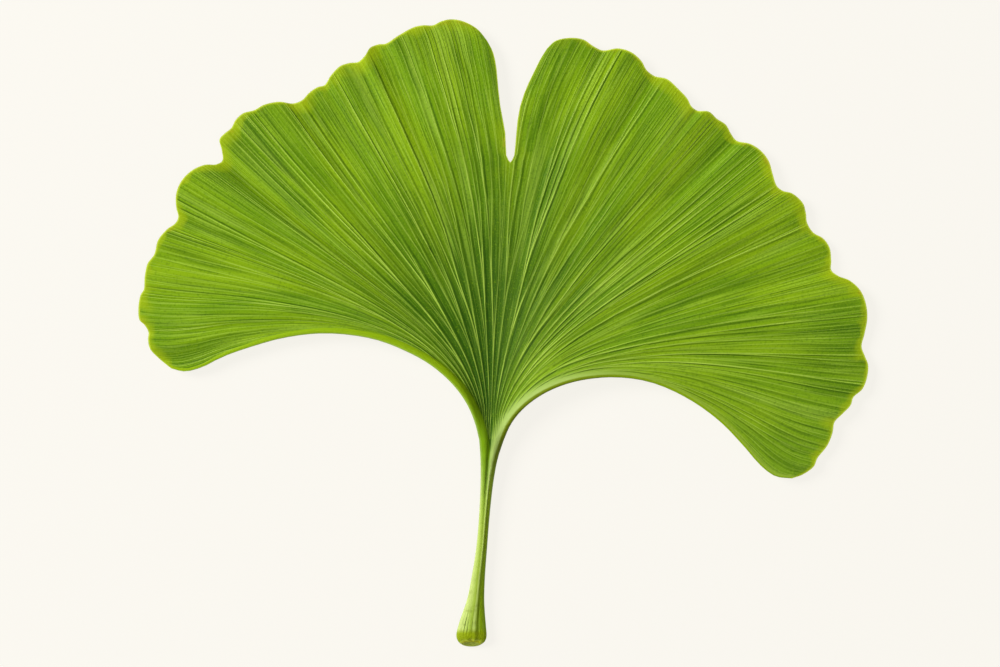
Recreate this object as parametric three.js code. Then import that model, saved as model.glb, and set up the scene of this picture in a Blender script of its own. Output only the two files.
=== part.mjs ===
// A ginkgo leaf: one fan-shaped blade with a notch in its far margin and a grooved stalk, lying face up.
// Millimetres. X runs across the fan, Y from the stalk's cut end to the far margin, Z up from the ground.
import * as THREE from "three";
import { mergeVertices } from "three/addons/utils/BufferGeometryUtils.js";

// Thicknesses of the blade and of the swollen rim along its two lower margins.
const BLADE_THICKNESS = 0.45;
const EDGE_TAPER = 0.45; // the blade thins to its edge over this distance
const RIM_WIDTH_AT_NECK = 1.4;
const RIM_WIDTH_AT_TIP = 0.9;
const RIM_SWELL_AT_NECK = 0.5; // how far the rim rises above and below the blade
const RIM_SWELL_AT_TIP = 0.03;

// How far the notch reaches down the middle, as a share of the way from neck to margin.
const NOTCH_START = 0.69;

// Stalk stations: y, left edge x, right edge x, half height, depth of the groove as a share of that.
const STALK = [
  [-22.35, -2.9, -0.45, 0.66, 0.1],
  [-21.8, -3.35, -0.05, 0.78, 0.12],
  [-20.6, -3.2, -0.1, 0.8, 0.16],
  [-19.2, -2.75, -0.22, 0.74, 0.2],
  [-17.6, -2.2, -0.3, 0.68, 0.24],
  [-15.0, -1.68, -0.22, 0.64, 0.26],
  [-12.0, -1.2, 0.0, 0.6, 0.28],
  [-8.0, -0.85, 0.32, 0.6, 0.32],
  [-4.0, -0.72, 0.75, 0.64, 0.38],
  [-2.0, -0.75, 1.08, 0.68, 0.42],
  [0, -0.8, 1.65, 0.72, 0.46],
];
const END_SLANT = 0.4; // the cut end leans: its lower lip reaches further out than its upper one
const END_HOLLOW = 0.35; // and its face is dished

// Heights of the mid surface above the ground along the stalk and along the blade's middle line.
const STALK_HEIGHT = [
  [-22.35, 0.8],
  [-12, 0.85],
  [-5, 1.05],
  [0, 1.35],
];
const BLADE_HEIGHT = [
  [0, 1.35],
  [0.15, 1.15],
  [0.45, 1.35],
  [0.75, 1.45],
  [1, 1.15],
];
// The neck is a trough: its two sides stand this much higher than its middle.
const TROUGH_DEPTH = [
  [0, 0.1],
  [0.07, 0.8],
  [0.16, 1.35],
  [0.35, 0.7],
  [0.6, 0.1],
  [1, -0.2],
];

// Folds that run out from the neck: where across the lobe (0 lower margin, 1 middle line),
// half width across the lobe, rise (negative for a valley), and where along it the fold begins.
const LEFT_FOLDS = [
  [0.13, 0.06, 0.25, 0.4],
  [0.22, 0.05, -0.35, 0.4],
  [0.37, 0.07, 0.5, 0.35],
  [0.46, 0.035, -1.0, 0.3],
  [0.54, 0.06, 0.45, 0.4],
  [0.65, 0.05, -0.3, 0.5],
  [0.755, 0.035, 0.5, 0.5],
  [0.81, 0.035, -0.4, 0.55],
];
const RIGHT_FOLDS = [
  [0.14, 0.06, 0.25, 0.4],
  [0.23, 0.05, -0.35, 0.4],
  [0.31, 0.05, 0.4, 0.35],
  [0.43, 0.05, -0.65, 0.35],
  [0.54, 0.05, 0.45, 0.35],
  [0.645, 0.04, -0.8, 0.35],
  [0.72, 0.04, 0.5, 0.4],
  [0.8, 0.03, -0.4, 0.45],
  [0.86, 0.03, 0.35, 0.5],
  [0.93, 0.03, -0.35, 0.6],
];

// Outlines seen from above, from the mouth of the stalk outwards.
const LOWER_LEFT = [
  [-0.8, 0], [-1.25, 2], [-2.1, 4.2], [-3.6, 6.3], [-6, 8.35], [-9, 9.95], [-12.5, 11.1],
  [-17.5, 11.65], [-22, 11.2], [-26, 10.12], [-29, 9.05], [-31.2, 7.95], [-33.1, 7.48],
  [-34.6, 7.8],
];
const LOWER_RIGHT = [
  [1.65, 0], [2.3, 1.7], [3.3, 3.1], [4.8, 4.45], [7, 5.7], [10, 6.6], [14, 6.92], [18, 6.3],
  [22, 4.5], [25.5, 2], [28.2, -0.8], [30, -2.85], [31.6, -4], [33.4, -4.25],
];
const MIDDLE = [[0.45, 0], [0.75, 6], [1.35, 15], [2.55, 30.4]];
const NOTCH_LEFT = [
  [2.55, 30.4], [2.2, 30.85], [2.08, 32], [2, 33.7], [1.7, 35.3], [1.4, 37], [1.2, 39],
  [1, 41], [0.65, 42.5], [0, 43.75],
];
const NOTCH_RIGHT = [
  [2.55, 30.4], [2.9, 30.85], [3.05, 31.8], [3.2, 33.5], [3.4, 35.4], [3.75, 37], [4.4, 38.75],
  [5.1, 40.2], [5.9, 41.8], [6.6, 42.9],
];
// The far margins, from each lobe's lower corner to the notch. Each row is one scallop.
const MARGIN_LEFT = [
  [-34.6, 7.8], [-35.9, 8.85], [-36.9, 9.95], [-37.12, 10.9],
  [-37.1, 11.8], [-37.5, 12.55], [-38.05, 13.1], [-38.2, 14.4], [-37.98, 15.8],
  [-37.6, 16.5], [-37.5, 17.9], [-37.2, 19.3],
  [-36.5, 20.3], [-36.05, 21.9], [-35.1, 23.05], [-34.15, 23.75],
  [-33.85, 24.4], [-34.05, 25.5], [-34.05, 26.9], [-33.5, 28.3], [-32.3, 29.5], [-30.9, 30.12],
  [-29.7, 30.18],
  [-29.05, 30.6], [-29.12, 31.8], [-29.35, 32.9], [-28.9, 33.45],
  [-28.05, 34.15], [-27.5, 35.05], [-26.7, 35.75],
  [-25.5, 36.1], [-24.4, 36.7], [-22.8, 37.03],
  [-21.3, 36.87], [-20.3, 37.2], [-19.5, 38.05], [-18.6, 38.65],
  [-17.8, 38.9], [-17.1, 39.95], [-16.1, 40.95], [-15.1, 41.3],
  [-14.1, 41.42], [-13.35, 42.05], [-12.8, 42.95], [-11.9, 43.35],
  [-11.1, 43.42], [-9.6, 44.35], [-8, 45.2], [-7, 45.4],
  [-5.9, 45.42], [-5, 45.85], [-3.8, 46.08], [-2.4, 45.78], [-1, 44.95], [0, 43.75],
];
const MARGIN_RIGHT = [
  [33.4, -4.25], [34.6, -3.83], [35.8, -2.95],
  [36.25, -2], [37.3, -0.65], [37.85, 0.7],
  [38.1, 1.95], [39, 2.9], [39.85, 3.8],
  [40.15, 4.65], [41.1, 5.5], [41.6, 6.6], [41.78, 8.2], [41.45, 9.15],
  [41.1, 10.2], [41.4, 11.6], [41.68, 13.2], [41.5, 14.9], [40.9, 16.35], [39.7, 17.47],
  [38.5, 17.95],
  [37.75, 18.6], [37.75, 19.6], [37.6, 21], [36.9, 22.05],
  [35.8, 22.72], [35.1, 23.8], [34.95, 24.9], [34.6, 25.95], [33.4, 27],
  [32.4, 27.28], [31.75, 27.8], [31.3, 29.1], [30.9, 30.5], [30.1, 31.6], [28.9, 32.42],
  [27.4, 32.82], [26.8, 33.55], [26.2, 34.55], [25.2, 35.2], [24.3, 35.95],
  [23.1, 36.05], [22.4, 36.5], [21.95, 37.35], [20.9, 38.5], [19.7, 39.55],
  [18.4, 39.87], [17.5, 40.5], [16.9, 41.5], [15.8, 42.45], [14.4, 42.87],
  [12.7, 42.67], [11.7, 43.1], [10.6, 43.83], [9.1, 44.03], [7.5, 43.7], [6.6, 42.9],
];

// How the veins leave the neck and meet the margin, across each lobe: headings in degrees,
// and how long each end keeps its heading as a share of the vein's length.
const LEFT_VEINS = {
  leave: [[0, 102], [0.15, 98], [0.4, 96], [1, 89]],
  arrive: [
    [0, 200], [0.06, 189], [0.12, 181], [0.22, 167], [0.35, 149], [0.5, 132], [0.7, 117],
    [0.85, 105], [1, 93],
  ],
  leaveFor: [[0, 0.465], [0.1, 0.32], [0.25, 0.27], [0.5, 0.275], [1, 0.29]],
  arriveFor: [[0, 0.33], [0.1, 0.56], [0.25, 0.565], [0.5, 0.56], [1, 0.4]],
};
const RIGHT_VEINS = {
  leave: [[0, 64], [0.15, 72], [0.4, 78], [1, 88]],
  arrive: [
    [0, -45], [0.06, -30], [0.12, -19], [0.18, -10], [0.24, -1], [0.31, 8], [0.38, 16],
    [0.46, 25], [0.56, 37], [0.68, 51], [0.85, 68], [1, 80],
  ],
  leaveFor: [[0, 0.5], [0.1, 0.32], [0.25, 0.255], [0.5, 0.24], [1, 0.3]],
  arriveFor: [[0, 0.325], [0.1, 0.56], [0.25, 0.575], [0.5, 0.56], [1, 0.4]],
};
const LOWER_MARGIN_REACH = 9; // how fast the lower margin's own shape fades into the lobe
const NOTCH_REACH = 4; // the same for the notch's side

// Where the rows and columns of the surface lie.
const ROWS = [
  0, 0.02, 0.045, 0.075, 0.11, 0.15, 0.2, 0.26, 0.33, 0.41, 0.5, 0.6, 0.68, NOTCH_START,
  0.71, 0.78, 0.86, 0.93, 0.97, 0.988, 1,
];
const STALK_COLUMNS = [0, 0.05, 0.15, 0.3, 0.45, 0.6, 0.8, 1];
const NECK_COLUMNS = [0, 0.02, 0.05, 0.1, 0.17, 0.25, 0.35, 0.46, 0.58, 0.72, 0.86, 1];
const NECK_ROW_END = 0.1;
const MIDDLE_ROW_END = 0.3;
const EDGE_COLUMN = 0.006; // a column just inside each edge

// Green, matt and slightly waxy.
const LEAF_GREEN = 0x7aa51a;
const LEAF_ROUGHNESS = 0.55;

const STEPS_PER_POINT = 20; // how finely each curve's length is measured

const curveOf = (points) => {
  const curve = new THREE.CatmullRomCurve3(
    points.map(([x, y]) => new THREE.Vector3(x, y, 0)),
    false,
    "centripetal",
  );
  curve.arcLengthDivisions = (points.length - 1) * STEPS_PER_POINT;
  return curve;
};

const clamp01 = (x) => Math.min(1, Math.max(0, x));

const smoothstep = (low, high, x) => {
  const t = clamp01((x - low) / (high - low));
  return t * t * (3 - 2 * t);
};

// A smooth curve through rows of [position, value].
function through(rows, x) {
  const last = rows.length - 1;
  const slope = (i) => (rows[i + 1][1] - rows[i][1]) / (rows[i + 1][0] - rows[i][0]);
  const tangent = (i) => {
    if (i === 0) return slope(0);
    if (i === last) return slope(last - 1);
    return (slope(i - 1) + slope(i)) / 2;
  };
  let i = 0;
  while (i < last - 1 && x > rows[i + 1][0]) i += 1;
  const h = rows[i + 1][0] - rows[i][0];
  const t = clamp01((x - rows[i][0]) / h);
  const rise = rows[i + 1][1] - rows[i][1];
  const bend = t * (1 - t) * ((1 - t) * (tangent(i) * h - rise) - t * (tangent(i + 1) * h - rise));
  return rows[i][1] + t * rise + bend;
}

// One lobe of the blade, u from its lower margin (0) to the middle line (1), v from neck to margin.
class Lobe {
  constructor(sign, lower, margin, notch, veins, folds) {
    this.sign = sign;
    this.lower = curveOf(lower);
    this.margin = curveOf(margin);
    this.marginPoints = margin.length;
    this.notch = curveOf(notch);
    this.middle = curveOf(MIDDLE);
    this.veins = veins;
    this.folds = folds;
  }

  // Each point that the margin is drawn through gives a column, plus one just inside each edge.
  columns() {
    const lengths = this.margin.getLengths();
    const total = lengths[lengths.length - 1];
    const between = Array.from(
      { length: this.marginPoints - 2 },
      (_, i) => lengths[(i + 1) * STEPS_PER_POINT] / total,
    );
    return [0, EDGE_COLUMN, ...between, 1 - EDGE_COLUMN, 1];
  }

  // The line along u = 1: the middle of the leaf, then the notch's side.
  inner(v) {
    if (v <= NOTCH_START) return this.middle.getPointAt(v / NOTCH_START);
    return this.notch.getPointAt((v - NOTCH_START) / (1 - NOTCH_START));
  }

  vein(u, v) {
    const { leave, arrive, leaveFor, arriveFor } = this.veins;
    const from = this.lower.getPointAt(0).lerp(this.middle.getPointAt(0), u);
    const to = this.margin.getPointAt(u);
    const length = from.distanceTo(to);
    const heading = (degrees) => {
      const angle = THREE.MathUtils.degToRad(degrees);
      return new THREE.Vector3(Math.cos(angle), Math.sin(angle), 0);
    };
    const out = heading(through(leave, u)).multiplyScalar(through(leaveFor, u) * length);
    const back = heading(through(arrive, u)).multiplyScalar(-through(arriveFor, u) * length);
    const curve = new THREE.CubicBezierCurve3(from, from.clone().add(out), to.clone().add(back), to);
    return curve.getPoint(v);
  }

  plan(u, v) {
    const place = this.vein(u, v);
    const lower = this.lower.getPointAt(v).sub(this.vein(0, v));
    const inner = this.inner(v).sub(this.vein(1, v));
    place.addScaledVector(lower, (1 - u) ** LOWER_MARGIN_REACH);
    return place.addScaledVector(inner, u ** NOTCH_REACH);
  }

  height(u, v) {
    const across = 1 - u;
    let z = through(BLADE_HEIGHT, v) + through(TROUGH_DEPTH, v) * across * across;
    const free = smoothstep(0, 0.06, across);
    for (const [centre, halfWidth, rise, start] of this.folds) {
      const x = (u - centre) / halfWidth;
      z += rise * Math.exp(-x * x) * smoothstep(start, 1.05, v) * free;
    }
    return z;
  }

  // Half the thickness: the blade with its tapering edges, plus the swollen rim.
  halfThickness(u, v, place) {
    const fromLower = place.distanceTo(this.lower.getPointAt(v));
    const fromNotch = v > NOTCH_START ? place.distanceTo(this.inner(v)) : EDGE_TAPER;
    const fromMargin = place.distanceTo(this.margin.getPointAt(u));
    const edge = Math.min(fromLower, fromNotch, fromMargin) / EDGE_TAPER;
    const blade = (BLADE_THICKNESS / 2) * Math.sqrt(clamp01(edge));
    const width = THREE.MathUtils.lerp(RIM_WIDTH_AT_NECK, RIM_WIDTH_AT_TIP, v);
    const swell = THREE.MathUtils.lerp(RIM_SWELL_AT_NECK, RIM_SWELL_AT_TIP, Math.sqrt(v));
    const x = fromLower / (width / 2) - 1;
    const rim = swell * Math.sqrt(Math.max(0, 1 - x * x)) * smoothstep(1, 0.9, v);
    return blade + rim;
  }

  // A point of the surface on the upper (+1) or lower (-1) side.
  point(u, v, side) {
    const place = this.plan(u, v);
    const across = 1 - u;
    const [, , , half, groove] = STALK[STALK.length - 1];
    const round = half * Math.sqrt(Math.max(0, 1 - across * across));
    const dent = side > 0 ? 1 - groove * Math.exp(-((across / 0.3) ** 2)) : 1;
    const bladeShare = smoothstep(0, 0.11, v);
    const sheet = u === 0 || v === 1 ? 0 : this.halfThickness(u, v, place);
    const onNotch = u === 1 && v >= NOTCH_START;
    const halfThickness = onNotch ? 0 : THREE.MathUtils.lerp(round * dent, sheet, bladeShare);
    place.z = this.height(u, v) + side * halfThickness;
    return place;
  }

  // One row of points, from left to right.
  row(v, side) {
    let columns = this.columns();
    if (v <= MIDDLE_ROW_END) columns = NECK_COLUMNS;
    if (v <= NECK_ROW_END) columns = STALK_COLUMNS;
    const points = columns.map((u) => ({ at: 1 - u, place: this.point(u, v, side) }));
    return this.sign < 0 ? points : points.reverse();
  }
}

// One row across half of the stalk; `sign` is -1 for its left half and +1 for its right.
function stalkRow([y, left, right, half, groove], sign, side) {
  const points = STALK_COLUMNS.map((u) => {
    const across = 1 - u;
    const centre = THREE.MathUtils.lerp(left, right, (0.45 + 0.8) / (1.65 + 0.8));
    const x = THREE.MathUtils.lerp(centre, sign < 0 ? left : right, across);
    const round = half * Math.sqrt(Math.max(0, 1 - across * across));
    const dent = side > 0 ? 1 - groove * Math.exp(-((across / 0.3) ** 2)) : 1;
    const z = through(STALK_HEIGHT, y) + side * round * dent;
    const atEnd = smoothstep(-20.6, STALK[0][0], y) * Math.sqrt(Math.max(0, 1 - across * across));
    return { at: across, place: new THREE.Vector3(x, y + side * END_SLANT * atEnd, z) };
  });
  return sign < 0 ? points : points.reverse();
}

// Triangles between two rows that may have different numbers of points.
function zip(inner, outer, up, into) {
  const progress = (row, i) => Math.abs(row[i].at - row[0].at);
  let i = 0;
  let j = 0;
  const add = (a, b, c) => into.push(...(up ? [a, b, c] : [a, c, b]).map((p) => p.place));
  while (i < inner.length - 1 || j < outer.length - 1) {
    const canInner = i < inner.length - 1;
    const canOuter = j < outer.length - 1;
    const innerNext = canInner ? progress(inner, i + 1) : Infinity;
    const outerNext = canOuter ? progress(outer, j + 1) : Infinity;
    const tie = innerNext === outerNext;
    if (canInner && (innerNext < outerNext || (tie && innerNext < 0.5))) {
      add(inner[i], inner[i + 1], outer[j]);
      i += 1;
    } else {
      add(inner[i], outer[j + 1], outer[j]);
      j += 1;
    }
  }
}

// The cut end: from the upper lip over a dished middle to the lower lip.
function closeEnd(sign, into) {
  const upper = stalkRow(STALK[0], sign, 1);
  const lower = stalkRow(STALK[0], sign, -1);
  const dish = upper.map((p, i) => {
    const place = p.place.clone().lerp(lower[i].place, 0.5);
    place.y += END_HOLLOW * (1 - p.at * p.at);
    return { at: p.at, place };
  });
  zip(dish, upper, true, into);
  zip(lower, dish, true, into);
}

const left = new Lobe(-1, LOWER_LEFT, MARGIN_LEFT, NOTCH_LEFT, LEFT_VEINS, LEFT_FOLDS);
const right = new Lobe(1, LOWER_RIGHT, MARGIN_RIGHT, NOTCH_RIGHT, RIGHT_VEINS, RIGHT_FOLDS);

function leafGeometry() {
  const corners = [];
  for (const side of [1, -1]) {
    for (const lobe of [left, right]) {
      const stalk = STALK.slice(0, -1).map((station) => stalkRow(station, lobe.sign, side));
      const rows = [...stalk, ...ROWS.map((v) => lobe.row(v, side))];
      rows.slice(1).forEach((row, i) => zip(rows[i], row, side > 0, corners));
    }
  }
  for (const sign of [-1, 1]) closeEnd(sign, corners);
  const geometry = new THREE.BufferGeometry().setFromPoints(corners);
  const merged = mergeVertices(geometry, 1e-3);
  merged.computeBoundingBox();
  const { min, max } = merged.boundingBox;
  merged.translate(-(min.x + max.x) / 2, -(min.y + max.y) / 2, -min.z);
  return merged;
}

const leaf = new THREE.Mesh(
  leafGeometry(),
  new THREE.MeshStandardMaterial({ color: LEAF_GREEN, roughness: LEAF_ROUGHNESS, metalness: 0 }),
);
leaf.name = "ginkgo_leaf";
leaf.geometry.computeVertexNormals();

const group = new THREE.Group();
group.name = "ginkgo_leaf_part";
group.add(leaf);

export default group;
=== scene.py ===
"""A fresh ginkgo leaf lying face up on a pale table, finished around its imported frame.

Sizes are millimetres in the leaf's own plan: x runs across the fan, y from the stalk's cut end to the
far margin, and both are zero where the stalk opens into the blade. A place in the plan is the complex
number x + iy.

A place on the leaf is also given by two shares. Across runs from -1 at the left lower margin, over 0 on
the middle line, to 1 at the right lower margin. Along runs from -1 at the cut end, over 0 at the mouth
of the stalk, to 1 at the far margin. Inside one lobe, inward is 1 - |across|: 0 at its lower margin and
1 on the middle line.
"""

import logging
import math
from dataclasses import dataclass, field
from enum import Enum

import bpy
import numpy as np
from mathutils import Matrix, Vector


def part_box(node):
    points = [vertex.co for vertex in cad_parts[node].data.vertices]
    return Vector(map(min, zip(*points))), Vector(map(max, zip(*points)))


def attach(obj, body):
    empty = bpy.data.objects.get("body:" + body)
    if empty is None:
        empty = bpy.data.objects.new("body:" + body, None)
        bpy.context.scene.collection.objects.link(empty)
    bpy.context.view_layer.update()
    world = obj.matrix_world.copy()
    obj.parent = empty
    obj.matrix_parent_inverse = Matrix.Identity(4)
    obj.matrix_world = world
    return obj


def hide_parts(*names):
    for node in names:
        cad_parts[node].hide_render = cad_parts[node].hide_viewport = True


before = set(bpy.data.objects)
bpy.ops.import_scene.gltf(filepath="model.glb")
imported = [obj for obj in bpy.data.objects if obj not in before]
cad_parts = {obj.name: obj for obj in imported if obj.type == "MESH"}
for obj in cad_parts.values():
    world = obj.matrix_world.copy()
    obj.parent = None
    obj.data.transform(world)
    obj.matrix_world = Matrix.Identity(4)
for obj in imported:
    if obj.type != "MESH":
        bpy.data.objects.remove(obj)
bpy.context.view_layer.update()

LOG = logging.getLogger("ginkgo")
MM = 0.001
CAD_NODE = "ginkgo_leaf"

Array = np.ndarray
Rows = tuple[tuple[float, ...], ...]
Points = tuple[tuple[float, float], ...]
Colour = tuple[float, float, float]
Socket = bpy.types.NodeSocket

MIDDLE: Points = ((0.45, 0), (0.75, 6), (1.35, 15), (2.55, 30.4))
NOTCH_START = 0.69
AT_EDGE = 1e-7
SAME_ROW = 1e-5
BLADE_HEIGHT: Rows = ((0, 1.35), (0.08, 1.0), (0.2, 0.7), (0.45, 0.95), (0.75, 1.3), (1, 1.1))
TROUGH_DEPTH: Rows = ((0, 0.1), (0.07, 0.9), (0.16, 1.5), (0.3, 1.5), (0.5, 0.75), (0.75, 0.1), (1, -0.1))
TROUGH_POWER = 1.35


class Side(Enum):
    """The two faces of the leaf."""

    UPPER = 1
    LOWER = -1


def smoothstep(low: float, high: float, x: Array) -> Array:
    """An even rise from 0 at low to 1 at high.

    Args:
        low: Where the rise begins.
        high: Where it ends.
        x: The values to look up.

    Returns:
        The share of the rise at each value.
    """
    t = np.clip((x - low) / (high - low), 0, 1)
    return t * t * (3 - 2 * t)


def through(rows: Rows, x: Array) -> Array:
    """A smooth curve through stations.

    Args:
        rows: The stations, each a position and a value, in order.
        x: The positions to look up.

    Returns:
        The value at each position.
    """
    place, value = np.array(rows, float).T[:2]
    slope = np.diff(value) / np.diff(place)
    tangent = np.concatenate([slope[:1], (slope[:-1] + slope[1:]) / 2, slope[-1:]])
    x = np.asarray(x, float)
    i = np.clip(np.searchsorted(place, x, side="right") - 1, 0, len(place) - 2)
    run = place[i + 1] - place[i]
    rise = value[i + 1] - value[i]
    t = np.clip((x - place[i]) / run, 0, 1)
    bend = (1 - t) * (tangent[i] * run - rise) - t * (tangent[i + 1] * run - rise)
    return value[i] + t * rise + t * (1 - t) * bend


class Line:
    """A smooth line through points of the plan, measured along its length."""

    STEPS = 20
    CHUNK = 4000

    def __init__(self, points: Points) -> None:
        """Draws the line.

        Args:
            points: The points that the line passes, as (x, y).
        """
        p = np.array([complex(*point) for point in points])
        p = np.concatenate([[2 * p[0] - p[1]], p, [2 * p[-1] - p[-2]]])
        gap = np.sqrt(np.abs(np.diff(p)))
        before, here, after = gap[:-2, None], gap[1:-1, None], gap[2:, None]
        a, b, c, d = p[:-3, None], p[1:-2, None], p[2:-1, None], p[3:, None]
        leave = here * ((b - a) / before - (c - a) / (before + here) + (c - b) / here)
        arrive = here * ((c - b) / here - (d - b) / (here + after) + (d - c) / after)
        t = np.linspace(0, 1, self.STEPS, endpoint=False)[None, :]
        bow = (2 * (b - c) + leave + arrive) * t**3 + (3 * (c - b) - 2 * leave - arrive) * t**2
        drawn = np.concatenate([(bow + leave * t + b).ravel(), [p[-2]]])
        self.places = drawn
        length = np.concatenate([[0], np.cumsum(np.abs(np.diff(drawn)))])
        self.length = float(length[-1])
        self.shares = length / self.length

    def at(self, share: Array) -> Array:
        """The places at these shares of the line's length."""
        x = np.interp(share, self.shares, self.places.real)
        return x + 1j * np.interp(share, self.shares, self.places.imag)

    def distance(self, places: Array) -> Array:
        """How far places lie from the nearest point of the line."""
        start, step = self.places[:-1], np.diff(self.places)
        nearest = np.empty(len(places))
        for first in range(0, len(places), self.CHUNK):
            away = places[first:first + self.CHUNK, None] - start
            share = np.clip((away * step.conj()).real / np.abs(step) ** 2, 0, 1)
            nearest[first:first + self.CHUNK] = np.abs(away - share * step).min(1)
        return nearest

    def share_of_point(self, index: int) -> float:
        """How far along its length the line passes one of its points."""
        return float(self.shares[index * self.STEPS])


@dataclass(frozen=True)
class Fold:
    """A fold or crease that runs out from the neck with the veins.

    Attributes:
        centre: Where it lies, as a share inward.
        half_width: Its half width, as a share inward.
        rise: How far it stands up at the far margin, below zero for a valley.
        start: Where along the blade it begins.
    """

    centre: float
    half_width: float
    rise: float
    start: float

    def height(self, inward: Array, along: Array) -> Array:
        """How far the fold lifts the blade at these places."""
        x = (inward - self.centre) / self.half_width
        return self.rise * np.exp(-x * x) * smoothstep(self.start, 1.05, along)


@dataclass(frozen=True)
class Ripple:
    """Small waves of the blade whose crests follow the veins.

    Attributes:
        waves: How many random heights there are across the whole leaf.
        stretches: How many there are along it.
        rise: The greatest height at the far margin.
        seed: The seed of the heights.
    """

    waves: int
    stretches: int
    rise: float
    seed: int

    def height(self, across: Array, along: Array) -> Array:
        """The height of the waves at these places of the blade."""
        heights = np.random.default_rng(self.seed).uniform(-1, 1, (self.waves + 2, self.stretches + 2))
        x = (across + 1) / 2 * self.waves
        y = np.clip(along, 0, 1) * self.stretches
        i = np.clip(np.floor(x).astype(int), 0, self.waves - 1)
        j = np.clip(np.floor(y).astype(int), 0, self.stretches - 1)
        tx = smoothstep(0, 1, x - i)
        ty = smoothstep(0, 1, y - j)
        near = heights[i, j] * (1 - tx) + heights[i + 1, j] * tx
        far = heights[i, j + 1] * (1 - tx) + heights[i + 1, j + 1] * tx
        return self.rise * np.clip(along, 0, 1) * (near * (1 - ty) + far * ty)


@dataclass
class Lobe:
    """One of the blade's two lobes: its outline, how its veins fan out, and its folds.

    Attributes:
        sign: -1 for the left lobe and 1 for the right.
        lower: The lower margin, from the mouth of the stalk to the corner.
        scallops: The far margin from the corner to the notch, one row of points a scallop.
        notch: The notch's side, from its bottom to the far margin.
        leave: The heading of the veins at the neck, in degrees, by share inward.
        arrive: Their heading at the far margin.
        leave_for: How long they keep the first heading, as a share of their length.
        arrive_for: How long they keep the last.
        folds: The lobe's folds and creases.
        seed: The seed of its small creases.
    """

    sign: int
    lower: Points
    scallops: tuple[Points, ...]
    notch: Points
    leave: Rows
    arrive: Rows
    leave_for: Rows
    arrive_for: Rows
    folds: tuple[Fold, ...]
    seed: int
    lower_reach: float = 9.0
    notch_reach: float = 4.0
    notch_corner_reach: float = 60.0
    notch_smoothing: tuple[float, ...] = (-0.08, -0.04, 0, 0.04, 0.08)
    blade_thickness: float = 0.3
    edge_taper: float = 1.1
    edge_lift: float = 0.85
    rim_width: tuple[float, float] = (1.05, 0.3)
    rim_swell: tuple[float, float] = (0.4, 0.03)

    def __post_init__(self) -> None:
        """Draws the outline and lays a small crease inward from each dip between two scallops."""
        self.lower_line = Line(self.lower)
        self.margin_line = Line(tuple(point for scallop in self.scallops for point in scallop))
        self.notch_line = Line(self.notch)
        self.middle_line = Line(MIDDLE)
        draw = np.random.default_rng(self.seed)
        starts = np.cumsum([len(scallop) for scallop in self.scallops])[:-1]
        self.creases = tuple(
            Fold(
                self.margin_line.share_of_point(int(start)),
                draw.uniform(0.006, 0.012),
                -draw.uniform(0.08, 0.2),
                draw.uniform(0.6, 0.82),
            )
            for start in starts
        )

    def inner(self, along: Array) -> Array:
        """The lobe's inner side: the middle line, then the side of the notch."""
        middle = self.middle_line.at(np.clip(along / NOTCH_START, 0, 1))
        notch = self.notch_line.at(np.clip((along - NOTCH_START) / (1 - NOTCH_START), 0, 1))
        return np.where(along <= NOTCH_START, middle, notch)

    def vein(self, inward: Array, along: Array) -> Array:
        """The places on the veins before the lobe's sides bend them."""
        start = self.lower_line.at(0.0)
        start = start + (self.middle_line.at(0.0) - start) * inward
        end = self.margin_line.at(inward)
        length = np.abs(end - start)
        leave = np.exp(1j * np.radians(through(self.leave, inward)))
        arrive = np.exp(1j * np.radians(through(self.arrive, inward)))
        first = start + leave * through(self.leave_for, inward) * length
        second = end - arrive * through(self.arrive_for, inward) * length
        left = 1 - along
        return left**3 * start + 3 * left**2 * along * first + 3 * left * along**2 * second + along**3 * end

    def inner_bend(self, along: Array) -> Array:
        """How far the lobe's inner side lies from the innermost free vein."""
        return self.inner(along) - self.vein(np.ones_like(along), along)

    def plan(self, inward: Array, along: Array) -> Array:
        """The places of the blade in the plan.

        The whole lobe follows a smoothed inner side, and only its last veins follow the notch's corners.
        """
        lower = self.lower_line.at(along) - self.vein(np.zeros_like(along), along)
        inner = self.inner_bend(along)
        room = np.clip((1 - along) / self.notch_smoothing[-1], 0, 1)
        smoothed = [self.inner_bend(np.clip(along + step * room, 0, 1)) for step in self.notch_smoothing]
        smooth = sum(smoothed) / len(smoothed)
        place = self.vein(inward, along) + lower * (1 - inward) ** self.lower_reach
        return place + smooth * inward**self.notch_reach + (inner - smooth) * inward**self.notch_corner_reach

    def width(self, inward: Array, along: Array) -> Array:
        """How many millimetres one share inward is, here."""
        step = 0.01
        low, high = np.clip(inward - step, 0, 1), np.clip(inward + step, 0, 1)
        return np.abs(self.plan(high, along) - self.plan(low, along)) / (high - low)

    def height(self, inward: Array, along: Array) -> Array:
        """The height of the blade's mid surface above the table."""
        across = np.clip(1 - inward, 0, 1)
        z = through(BLADE_HEIGHT, along) + through(TROUGH_DEPTH, along) * across**TROUGH_POWER
        folded = sum(fold.height(inward, along) for fold in self.folds + self.creases)
        return z + folded * smoothstep(0, 0.06, across)

    def edge_distances(self, inward: Array, along: Array) -> tuple[Array, Array]:
        """How far places lie from the lobe's edges.

        Args:
            inward: The places' share inward.
            along: Their share along.

        Returns:
            The distance from the lower margin, and the one from the far margin or the notch.
        """
        place = self.plan(inward, along)
        from_lower = np.where(inward < 1e-7, 0, self.lower_line.distance(place))
        from_margin = np.abs(place - self.margin_line.at(inward))
        from_notch = np.abs(place - self.inner(np.maximum(along, NOTCH_START)))
        return from_lower, np.minimum(from_margin, from_notch)

    def rim_across(self, from_lower: Array, along: Array) -> Array:
        """The distance from the lower margin in widths of its rim, which narrows on its way out."""
        near, far = self.rim_width
        return from_lower / (near + (far - near) * along)

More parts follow.
